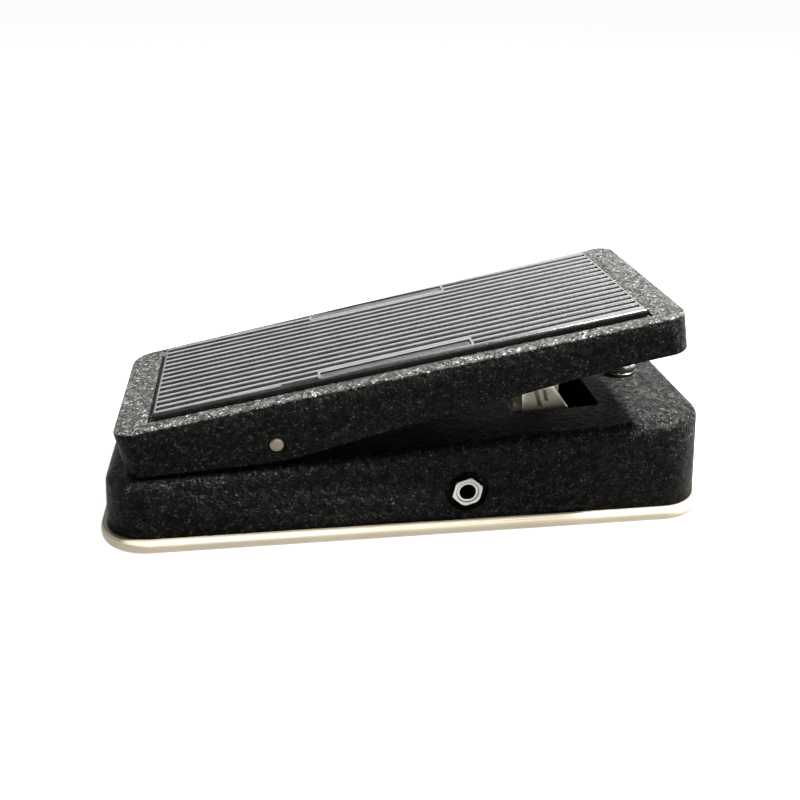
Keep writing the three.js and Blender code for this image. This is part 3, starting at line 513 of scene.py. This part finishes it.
def finish_piece(obj, node, slot, body):
    """Gives a finished piece its material and its body, and hides the CAD node that it stands for."""
    obj.data.materials.clear()
    obj.data.materials.append(MATERIALS[slot])
    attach(obj, body)
    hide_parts(node)
    return obj


# ------------------------------------------------------------------ base
def base_top(x):
    return BASE["top"] + BASE["slope"] * x


def wedge_rings(inset, bottom, drop, edge):
    """Rings of the cast wedge, from its rim to the rounded edge of its sloping top."""
    flat = BASE["top"] - drop
    rise = flat - edge - BASE["rim"]
    profile = [(inset + (bottom - BASE["rim"]) * BASE["draft"], bottom, 0.0)]
    for step in range(10):
        angle = math.pi / 2 * step / 9
        in_by = inset + rise * BASE["draft"] + edge * (1 - math.cos(angle))
        profile.append((in_by, flat - edge * (1 - math.sin(angle)), 1.0))
    rings = []
    for ring_inset, height, lifted in profile:
        points = outline(
            -BASE["half_length"], BASE["half_length"], lambda _: BASE["half_width"], BASE["corner"],
            ring_inset, corner_steps=20, setback=lifted * rise * BASE["toe_lean"])
        rings.append([(x, y, height + lifted * BASE["slope"] * x) for x, y in points])
    return rings


def jack_wall():
    """How far the drafted side wall is from the middle at the jacks' height."""
    return BASE["half_width"] - (JACK["z"] - BASE["rim"]) * BASE["draft"]


def pivot_lug(side):
    """The round-topped lug that stands on the base's top and carries one pivot bush."""
    foot = base_top(PIVOT["x"]) - 2
    reach = LUG["half_length"] + 2
    profile = [(PIVOT["x"] - reach, foot), (PIVOT["x"] + reach, foot)]
    for step in range(19):
        angle = 0.2 + (math.pi - 0.4) * step / 18
        profile.append((PIVOT["x"] + LUG["crown"] * math.cos(angle),
                        PIVOT["z"] + LUG["crown"] * math.sin(angle)))
    ends = sorted((side * LUG["inner"], side * LUG["outer"]))
    return soften(skin("tool", [[(x, y, z) for x, z in profile] for y in ends]), 0.8)


def base_shell():
    shell = skin("base_casting", wedge_rings(0, BASE["rim"], 0, BASE["edge"]))
    cavity = skin("tool", wedge_rings(BASE["wall"], 0, BASE["wall"], 1.5))
    cut(shell, cavity)
    for side in (-1, 1):
        join(shell, pivot_lug(side))
    bosses = [
        (PLATE_SCREWS, dict(radius=5.0, bottom=3.0)),
        (BOARD_SCREWS, dict(radius=3.6, bottom=19.9)),
        (BRACKET_SCREWS, dict(radius=4.0, bottom=9.8)),
    ]
    skin_depth = 1.5
    for places, boss in bosses:
        for x, y in places:
            join(shell, rod((x, y, boss["bottom"]), (x, y, base_top(x) - skin_depth), boss["radius"], 32))
    opening = outline(
        SLOT["heel"], SLOT["toe"], lambda _: SLOT["half_width"], SLOT["corner"], corner_steps=6)
    cut(shell, prism(opening, 20, 60))
    cut(shell, rod((PIVOT["x"], -45, PIVOT["z"]), (PIVOT["x"], 45, PIVOT["z"]), LUG["bush"]))
    cut(shell, rod((PIVOT["x"], 0, 20), (PIVOT["x"], 0, 40), PIVOT["eye_bolt_hole"]))
    cut(shell, rod((SWITCH["x"], SWITCH["y"], 30), (SWITCH["x"], SWITCH["y"], 60), SWITCH["hole"]))
    x, z = JACK["x"], JACK["z"]
    for side in (-1, 1):
        outside = (x, side * 60, z)
        cut(shell, rod((x, side * 40, z), outside, JACK["bushing"] + JACK["gap"]))
        cut(shell, rod((x, side * (jack_wall() - JACK["depth"]), z), outside, JACK["recess"], 64))
    threads = [
        (PLATE_SCREWS, dict(radius=1.95, top=15)),
        (BOARD_SCREWS, dict(radius=1.7, top=27)),
        (BRACKET_SCREWS, dict(radius=1.95, top=20)),
    ]
    for places, hole in threads:
        for x, y in places:
            cut(shell, rod((x, y, 0), (x, y, hole["top"]), hole["radius"], 20))
    soften(shell, 0.45, 2, 50)
    smooth(shell, 40)
    return finish_piece(shell, "base_shell", "wrinkle_paint_casting", "base")


def edge_gasket():
    """A bulged rubber moulding round the rim, with a shallow groove along its upper lip."""
    over, inner, top = GASKET["overhang"], GASKET["inner"], GASKET["top"]
    section = [(over + 0.9, 0.0), (0.9, 0.0)]
    bulge = 2.3
    for step in range(1, 12):
        angle = -math.pi / 2 + math.pi * step / 12
        depth = 1.0 - math.cos(angle)
        section.append((0.9 * depth ** 1.3, bulge + bulge * math.sin(angle)))
    section += [(0.75, top - 0.35), (1.25, top - 0.05), (over - 0.2, top), (over + 0.4, top - 0.3)]
    section += [(over + inner - 0.3, top - 0.3), (over + inner, top - 0.6)]
    section += [(over + inner, 0.3), (over + inner - 0.3, 0)]
    rings = []
    for inset, height in section:
        points = outline(
            -BASE["half_length"] - over, BASE["half_length"] + over,
            lambda _: BASE["half_width"] + over, BASE["corner"] + over, inset)
        rings.append([(x, y, height) for x, y in points])
    gasket = smooth(skin("cream_edge_moulding", rings, closed=True), 50)
    return finish_piece(gasket, "edge_gasket", "cream_rubber", "base")


# ------------------------------------------------------------------ treadle
def skirt_height(s):
    """The height of the skirt's lower edge, straight between the points of SKIRT."""
    for (s0, h0), (s1, h1) in zip(SKIRT, SKIRT[1:]):
        if s <= s1:
            t = min(max((s - s0) / (s1 - s0), 0), 1)
            return h0 + (h1 - h0) * t
    return SKIRT[-1][1]


def smooth_skirt(s):
    """skirt_height averaged over a short reach, which rounds the edge's corners."""
    reach = 7.0
    samples = [skirt_height(s + reach * k / 4) for k in range(-4, 5)]
    return sum(samples) / len(samples)


def treadle_half_width(s):
    return TREADLE["half_width"] + TREADLE["taper"] * s


def treadle_ring(inset, height):
    points = outline(
        TREADLE["heel"], TREADLE["toe"], treadle_half_width, TREADLE["corner"], inset, 12, 40)
    return [(x, y, height(x)) for x, y in points]


def tapered(shape, grow=0.0):
    """A straight-sided outline that narrows towards the heel, let out by grow on every side."""
    points = []
    for s, side in ((shape["heel"] - grow, -1), (shape["toe"] + grow, -1),
                    (shape["toe"] + grow, 1), (shape["heel"] - grow, 1)):
        points.append((s, side * (shape["half_width"] + shape["taper"] * s + grow)))
    return points


def treadle_casting():
    edge, wall, plate = TREADLE["edge"], TREADLE["wall"], TREADLE["plate"]
    rings = []
    steps = 6
    for step in range(steps + 1):
        angle = math.pi / 2 * (1 - step / steps)
        inset, height = TREADLE["crown"] * (1 - math.cos(angle)), -edge * (1 - math.sin(angle))
        rings.append(treadle_ring(inset, lambda _, h=height: h))
    lip, turn = 0.6, 0.18
    outer_lip = [(0.0, lip), (turn, turn), (lip, 0.0)]
    inner_lip = [(wall - inset, up) for inset, up in reversed(outer_lip)]
    for inset, up in outer_lip + inner_lip:
        rings.append(treadle_ring(inset, lambda s, u=up: smooth_skirt(s) + u))
    rings.append(treadle_ring(wall, lambda _: -plate - 1.2))
    rings.append(treadle_ring(wall + 0.35, lambda _: -plate - 0.35))
    rings.append(treadle_ring(wall + 1.2, lambda _: -plate))
    treadle = skin("treadle_casting", rings)
    for x, y in HEEL_BUMPERS:
        s = in_treadle(x, 35).x
        join(treadle, turned("tool", [(0, 4.0), (13.6, 4.8), (14.5, 5.6)], (s, y, -16.9), (0, 0, 1), 32))
    for s in CLEVIS_SCREWS:
        join(treadle, rod((s, 0, -7), (s, 0, -2.5), 3.8, 32))
        cut(treadle, rod((s, 0, -9), (s, 0, -1.8), 1.8, 20))
    cut(treadle, prism(tapered(RECESS), -RECESS["depth"], 5))
    pivot = in_treadle(PIVOT["x"], PIVOT["z"])
    cut(treadle, rod((pivot.x, -70, pivot.z), (pivot.x, 70, pivot.z), PIVOT["radius"] + 0.35))
    soften(treadle, 0.3, 2, 45)
    smooth(treadle, 40)
    place(treadle, tilted())
    finish_piece(treadle, "treadle", "wrinkle_paint_casting", "treadle")
    # painted light by lean: sides dark, the rounded top edge a painted highlight at full brightness, level
    # tops a little less
    treadle.data.materials[0] = wrinkle_paint(
        "treadle_paint", [(0.0, 0.26), (0.25, 0.33), (0.5, 1.0), (0.9, 1.0), (0.97, 0.7)], 420, 1.5)


def mat_blank():
    """The mat without its grooves, its upper edge rounded over."""
    rings = []
    round_over = 1.1
    for height in (MAT["bottom"], MAT["top"] - round_over):
        rings.append([(s, y, height) for s, y in tapered(MAT)])
    for step in range(1, 5):
        angle = math.pi / 2 * step / 4
        shrink = -0.9 * (1 - math.cos(angle))
        height = MAT["top"] - round_over * (1 - math.sin(angle))
        rings.append([(s, y, height) for s, y in tapered(MAT, shrink)])
    return skin("ribbed_tread_mat", rings)


def groove_cutter(y, start, end):
    """Cuts one groove with a rounded floor and rounded shoulders."""
    half, depth, shoulder = MAT["groove"] / 2, MAT["depth"], MAT["shoulder"]
    section = [(-half * 0.45, -depth), (-half * 0.85, -depth * 0.85)]
    for step in range(5):
        angle = math.pi / 2 * step / 5
        section.append((-half - shoulder * (1 - math.cos(angle)), -shoulder * (1 - math.sin(angle))))
    section.append((-half - shoulder, 0.02))
    section += [(-x, z) for x, z in reversed(section)]
    return skin("tool", [[(s, y + x, MAT["top"] + z) for x, z in section] for s in (start, end)])


def tread_mat():
    mat = mat_blank()
    cutters = []
    for i in range(MAT["grooves"]):
        y = (i - (MAT["grooves"] - 1) / 2) * MAT["pitch"]
        narrow = (abs(y) + MAT["groove"] / 2 - MAT["half_width"]) / MAT["taper"]
        start = max(MAT["heel"], narrow) + MAT["border"]
        end = MAT["toe"] - MAT["border"]
        if abs(y) > MAT["panel_inner"]:
            cutters += [groove_cutter(y, start, MAT["panel_heel"]), groove_cutter(y, MAT["panel_toe"], end)]
        else:
            cutters.append(groove_cutter(y, start, end))
    cut(mat, merged(*cutters))
    sink = MAT["top"] - MAT["panel_sink"]
    for side in (-1, 1):
        inner, outer = side * (MAT["panel_inner"] + 0.9), side * (MAT["half_width"] - 1.4)
        cut(mat, block(MAT["panel_heel"] + 1, MAT["panel_toe"] - 1, *sorted((inner, outer)), sink, 5))
    soften(mat, 0.12, 1, 50)
    smooth(mat, 30)
    finish_piece(mat, "tread_mat", "black_rubber", "treadle")
    accent(mat, "stippled_rubber", lambda c: (
        abs(c.y) > MAT["panel_inner"] + 0.9 and c.z < sink + 0.1 and c.z > sink - 0.1
        and MAT["panel_heel"] < c.x < MAT["panel_toe"]))
    place(mat, tilted())


# ------------------------------------------------------------------ fasteners, jacks and pivot
def hexagon(radius, turn):
    angles = [turn + math.pi * i / 3 for i in range(6)]
    return [(radius * math.cos(angle), radius * math.sin(angle)) for angle in angles]


def jack_nut(name, side):
    """A jack's hex nut, chamfered on its outer face, with the bore for the jack's barrel."""
    seat = jack_wall() - JACK["depth"] + JACK["gap"]
    height = JACK["nut_height"]
    outwards = Matrix.Rotation(math.radians(-90 * side), 4, "X")
    turn = Matrix.Translation((JACK["x"], 0, JACK["z"])) @ outwards
    nut = prism(hexagon(JACK["nut"], JACK["turn"] * -side), seat, seat + height, f"{name}_jack_hex_nut")
    flat = JACK["nut"] * 0.866
    profile = [(0, flat + 2), (height - 0.5, flat + 0.9), (height, flat + 0.3)]
    dome = turned("tool", profile, (0, 0, seat), (0, 0, 1), 64)
    combine(nut, dome, "INTERSECT")
    cut(nut, rod((0, 0, seat - 1), (0, 0, seat + 9), JACK["bushing"] + 0.12, 64))
    soften(nut, 0.14, 2, 30)
    place(smooth(nut, 28), turn)
    finish_piece(nut, f"{name}_jack_nut", "nickel_plate", "base")


def pivot_rod():
    reach = treadle_half_width(in_treadle(PIVOT["x"], PIVOT["z"]).x) - 0.25
    radius = PIVOT["radius"]
    half = [(0.0, radius - 1.1), (0.12, radius - 0.5), (0.5, radius)]
    profile = [(a, r) for a, r in half] + [(2 * reach - a, r) for a, r in reversed(half)]
    pin = turned("pivot_shaft", profile, (PIVOT["x"], -reach, PIVOT["z"]), (0, 1, 0), 64)
    finish_piece(smooth(pin, 30), "pivot_rod", "dull_steel_rod", "treadle")


# ------------------------------------------------------------------ the CAD pieces that keep their shape
SPECIAL = {
    "base_shell", "edge_gasket", "treadle", "tread_mat", "pivot_rod", "input_jack_nut", "output_jack_nut",
}
BEVELS = {"base_plate": 0.3, "pot_bracket": 0.25, "rack_clevis": 0.25, "battery": 1.2}


def refined(node, body, slot):
    """A copy of a CAD solid with merged faces and rounded edges."""
    mesh = NODES[node].data.copy()
    obj = bpy.data.objects.new(f"{node}_finished", mesh)
    bpy.context.collection.objects.link(obj)
    tidy = bmesh.new()
    tidy.from_mesh(mesh)
    bmesh.ops.remove_doubles(tidy, verts=tidy.verts, dist=2e-6)
    bmesh.ops.dissolve_limit(tidy, angle_limit=math.radians(1.0), verts=tidy.verts, edges=tidy.edges)
    bmesh.ops.recalc_face_normals(tidy, faces=tidy.faces)
    tidy.to_mesh(mesh)
    tidy.free()
    soften(obj, BEVELS.get(node, 0.18), 2, 34)
    smooth(obj, 34)
    return finish_piece(obj, node, slot, body)


def refine_the_rest():
    slots = {part["node"]: part["material_slot"] for part in frame["record"]["subparts"]}
    for body, members in frame["record"]["behaviour"]["bodies"].items():
        for node in members:
            if node in SPECIAL:
                continue
            piece = refined(node, body, slots[node])
            if node in ("input_jack", "output_jack"):
                shell = BASE["half_width"] - 6
                accent(piece, "nickel_plate", lambda c: abs(c.y) > shell)


MATERIALS = make_materials()
make_camera()
make_stage()
base_shell()
edge_gasket()
treadle_casting()
tread_mat()
pivot_rod()
jack_nut("input", -1)
jack_nut("output", 1)
refine_the_rest()


def corners(box):
    return [[float(part) for part in corner] for corner in box]
